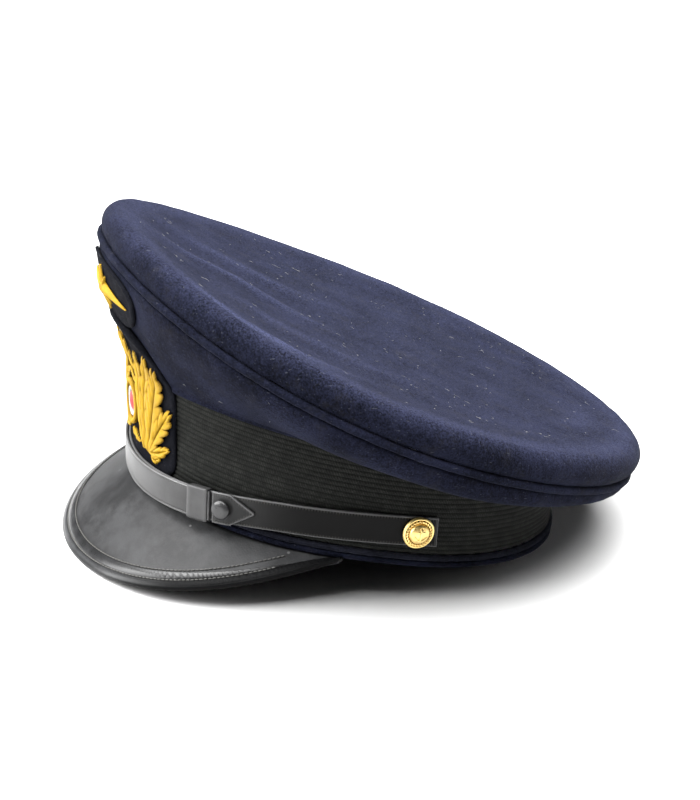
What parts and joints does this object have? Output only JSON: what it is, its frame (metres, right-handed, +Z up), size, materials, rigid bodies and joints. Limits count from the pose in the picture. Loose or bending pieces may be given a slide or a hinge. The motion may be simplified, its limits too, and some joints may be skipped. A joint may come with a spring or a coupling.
{
  "type": "visor cap",
  "caption": "Officer's peaked visor cap: broad dished cloth crown, deep front, ribbed band, leather visor, chin strap with gilt buttons, and gold-thread wreath and star.",
  "frame": {"origin": "middle of the object's bounding box, on the surface that it rests on", "axes": "+X towards the wearer's left, +Y towards the back of the cap, +Z up; the visor points to -Y"},
  "size_m": [0.252, 0.2654, 0.147],
  "materials": {
    "wool": "matt navy wool doeskin",
    "piping": "matt fuzzy navy wool over a cord",
    "mohair": "ribbed black mohair braid with a soft sheen",
    "visor_leather": "black leather with a broad satin sheen",
    "strap_leather": "polished black leather",
    "stud_paint": "gloss black domed stud",
    "gilt": "polished gilt metal",
    "gold_thread": "yellow-gold satin-stitched thread",
    "white_thread": "white twisted thread",
    "red_thread": "red thread",
    "patch_cloth": "dark navy backing cloth"
  },
  "bodies": {
    "root": {"crown_top": "wool", "crown_piping": "piping", "side_panel": "wool", "mohair_band": "mohair", "lower_piping": "piping", "base_strip": "wool", "visor": "visor_leather", "visor_binding": "visor_leather", "strap_left": "strap_leather", "strap_right": "strap_leather", "keeper_left": "strap_leather", "tab_left": "strap_leather", "stud_left": "stud_paint", "button_left": "gilt", "wreath_left": "gold_thread", "keeper_right": "strap_leather", "tab_right": "strap_leather", "stud_right": "stud_paint", "button_right": "gilt", "wreath_right": "gold_thread", "wreath_patch": "patch_cloth", "cockade_cord": "gold_thread", "cockade_ring": "white_thread", "cockade_dome": "red_thread", "badge_patch": "patch_cloth", "badge_star": "gold_thread"}
  },
  "joints": []
}
